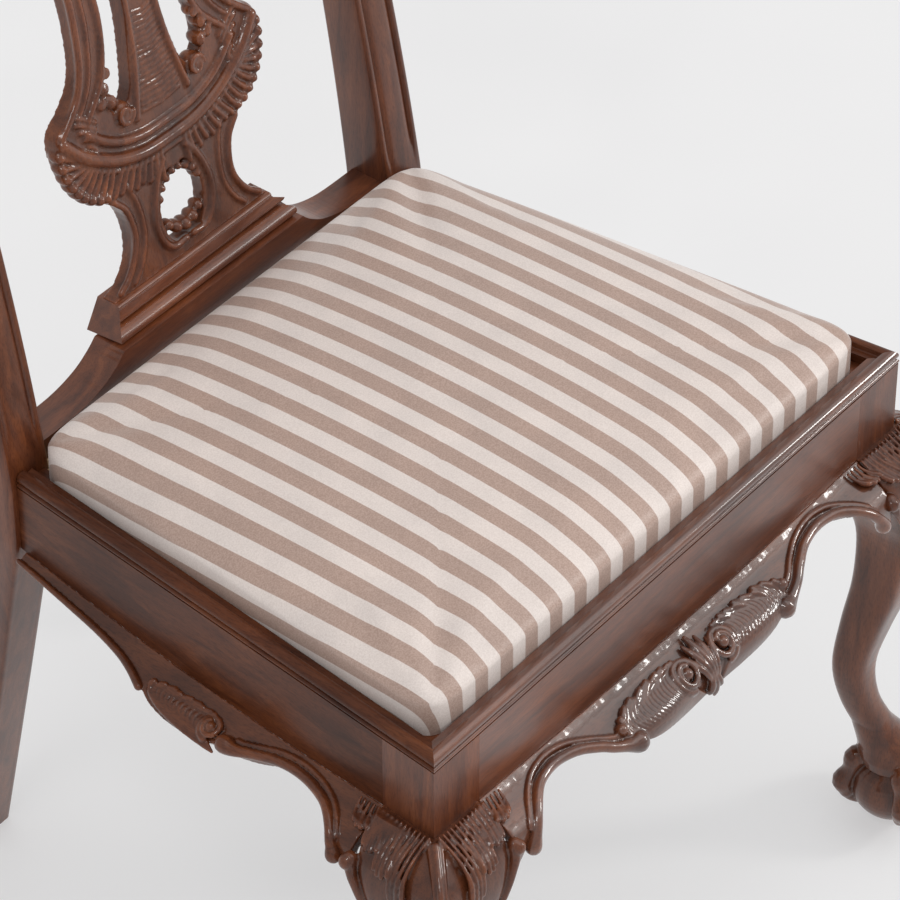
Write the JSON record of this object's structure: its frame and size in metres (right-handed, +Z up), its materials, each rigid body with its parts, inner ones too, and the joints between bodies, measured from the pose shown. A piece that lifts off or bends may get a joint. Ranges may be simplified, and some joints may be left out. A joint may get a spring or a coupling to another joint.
{
  "type": "dining side chair",
  "caption": "Carved mahogany dining side chair with cabriole ball-and-claw front legs, a pierced splat, carved aprons and a striped satin drop-in seat.",
  "frame": {"origin": "on the floor, in the middle of the chair's width and of its overall depth", "axes": "+X to the chair's left-hand side as seen from the front (sitter's left), +Y from the front rail to the back, +Z up"},
  "size_m": [0.6318, 0.627, 1.005],
  "materials": {
    "mahogany": "gloss varnish over dark red-brown stain",
    "beech": "bare, sanded",
    "screw_metal": "dull",
    "webbing": "coarse jute weave",
    "hessian": "open plain weave",
    "stuffing": "cotton felt",
    "satin": "striped satin",
    "dust_cloth": "matte non-woven",
    "tack_metal": "blued"
  },
  "bodies": {
    "chair": {"front_leg_left": "mahogany", "front_leg_right": "mahogany", "back_post_left": "mahogany", "back_post_right": "mahogany", "front_rail": "mahogany", "side_rail_left": "mahogany", "side_rail_right": "mahogany", "back_rail": "mahogany", "seat_rim_front": "mahogany", "seat_rim_left": "mahogany", "seat_rim_right": "mahogany", "apron_front": "mahogany", "apron_left": "mahogany", "apron_right": "mahogany", "knee_block_front_left": "mahogany", "knee_block_front_right": "mahogany", "knee_block_side_left": "mahogany", "knee_block_side_right": "mahogany", "crest_rail": "mahogany", "splat": "mahogany", "shoe": "mahogany", "corner_block_front_left": "beech", "corner_block_front_right": "beech", "corner_block_back_left": "beech", "corner_block_back_right": "beech", "corner_block_screws": "screw_metal"},
    "drop_in_seat": {"seat_frame_front": "beech", "seat_frame_back": "beech", "seat_frame_left": "beech", "seat_frame_right": "beech", "seat_webbing": "webbing", "seat_hessian": "hessian", "seat_pad": "stuffing", "seat_cover": "satin", "seat_dust_cover": "dust_cloth", "seat_tacks": "tack_metal"}
  },
  "joints": [
    {"name": "seat_lift", "type": "slide", "parent": "chair", "child": "drop_in_seat", "axis": [0, 0, 1], "range_m": [0, 0.15]}
  ]
}
